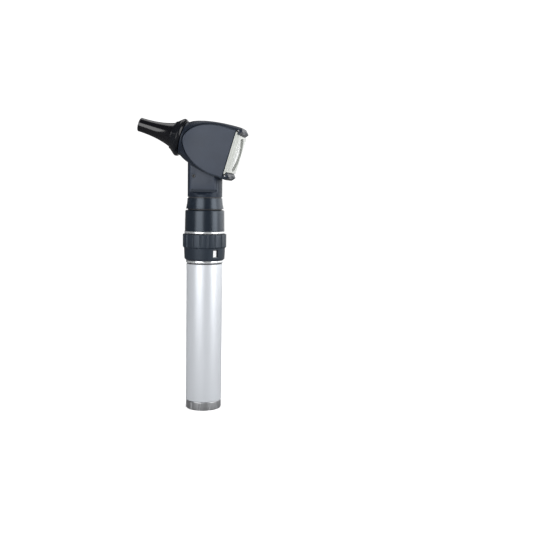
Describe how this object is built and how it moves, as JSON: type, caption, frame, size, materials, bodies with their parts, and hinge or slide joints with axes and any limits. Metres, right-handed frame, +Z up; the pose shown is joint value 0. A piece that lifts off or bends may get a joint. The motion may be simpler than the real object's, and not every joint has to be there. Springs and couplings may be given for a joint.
{
  "type": "otoscope",
  "caption": "Fibre-optic otoscope: black viewing head with speculum, ring and sliding magnifier, on a slim satin aluminium battery handle with dimmer collar.",
  "frame": {"origin": "centre of the base face of the handle, on the handle's axis", "axes": "+Z up along the handle, -X the way the speculum points, +X the magnifier's side, Y across the head"},
  "size_m": [0.077, 0.0308, 0.2053],
  "materials": {
    "satin_aluminium": "fine turned satin, clear anodised",
    "cell_wrap": "shrink wrap",
    "insulator_cream": "moulded",
    "spring_steel": "drawn wire",
    "contact_brass": "gold flashed",
    "housing_black": "moulded black",
    "chrome_trim": "polished chrome",
    "track_carbon": "carbon film",
    "tile_white": "printed white",
    "black_anodised": "satin black anodised aluminium",
    "cap_aluminium": "turned, clear anodised",
    "seal_rubber": "moulded",
    "collar_black": "satin moulded black",
    "bulb_glass": "clear glass",
    "head_black": "satin moulded blue-black",
    "cheek_black": "fine sparked texture, blue-black",
    "fibre_ends": "polished glass fibre in resin",
    "cone_black": "black anodised",
    "ring_black": "satin gloss black",
    "speculum_black": "polished black, autoclavable",
    "lens_block_clear": "clear acrylic with frosted sides",
    "lens_clear": "polished clear acrylic"
  },
  "bodies": {
    "handle": {"handle_tube": "satin_aluminium", "battery_cell": "cell_wrap", "battery_sleeve": "insulator_cream", "battery_spring": "spring_steel", "battery_contact": "contact_brass", "switch_housing": "housing_black", "lower_trim_ring": "chrome_trim", "resistor_track": "track_carbon", "indicator_tile": "tile_white", "contact_insulator": "insulator_cream", "contact_spring": "spring_steel", "upper_trim_ring": "chrome_trim", "coupling_sleeve": "black_anodised"},
    "seat": {"battery_seat": "contact_brass", "charge_contact": "contact_brass", "cap_insulator": "insulator_cream"},
    "cap": {"base_cap": "cap_aluminium", "cap_o_ring": "seal_rubber"},
    "dimmer": {"control_collar": "collar_black", "drive_peg": "contact_brass", "wiper": "contact_brass"},
    "contact": {"contact_pin": "contact_brass"},
    "head": {"lamp_housing": "housing_black", "bayonet_pins": "spring_steel", "lamp_insulator": "insulator_cream", "head_contact": "contact_brass", "lamp_base": "contact_brass", "lamp_bulb": "bulb_glass", "adapter_ring": "black_anodised", "head_shell": "head_black", "left_neck_plate": "cheek_black", "right_neck_plate": "cheek_black", "lamp_screw": "housing_black", "left_cheek": "cheek_black", "right_cheek": "cheek_black", "fibre_bundle": "fibre_ends", "outer_cone": "cone_black", "fibre_cone": "fibre_ends", "sight_tube": "cone_black", "ring_clip": "spring_steel", "lens_springs": "spring_steel"},
    "ring": {"speculum_ring": "ring_black"},
    "speculum": {"speculum": "speculum_black"},
    "lens": {"lens_block": "lens_block_clear", "magnifier_lens": "lens_clear"}
  },
  "joints": [
    {"name": "dimmer_turn", "type": "hinge", "parent": "handle", "child": "dimmer", "pos_m": [0, 0, 0.115], "axis": [0, 0, 1], "range_deg": [0, 120]},
    {"name": "contact_plunge", "type": "slide", "parent": "handle", "child": "contact", "axis": [0, 0, -1], "range_m": [0, 0.0012], "stiffness_N_per_m": 800, "springref_m": -0.0006, "deforming": ["contact_spring"]},
    {"name": "head_lock", "type": "hinge", "parent": "handle", "child": "head", "pos_m": [0, 0, 0.137], "axis": [0, 0, 1], "range_deg": [0, 25]},
    {"name": "ring_turn", "type": "hinge", "parent": "head", "child": "ring", "pos_m": [0, 0, 0.1866], "axis": [-0.9578, 0, 0.2874], "range_deg": [0, 30]},
    {"name": "speculum_pull", "type": "slide", "parent": "ring", "child": "speculum", "axis": [-0.9578, 0, 0.2874], "range_m": [0, 0.03]},
    {"name": "lens_slide", "type": "slide", "parent": "head", "child": "lens", "axis": [0, 1, 0], "range_m": [-0.015, 0.015]},
    {"name": "cap_turn", "type": "hinge", "parent": "seat", "child": "cap", "pos_m": [0, 0, 0.003], "axis": [0, 0, -1], "range_deg": [0, 720]},
    {"name": "seat_drop", "type": "slide", "parent": "handle", "child": "seat", "axis": [0, 0, -1], "range_m": [0, 0.00299], "deforming": ["battery_spring"]}
  ],
  "couplings": [
    {"joint": "cap_turn", "follows": "seat_drop", "rad_per_m": 4188.8}
  ]
}
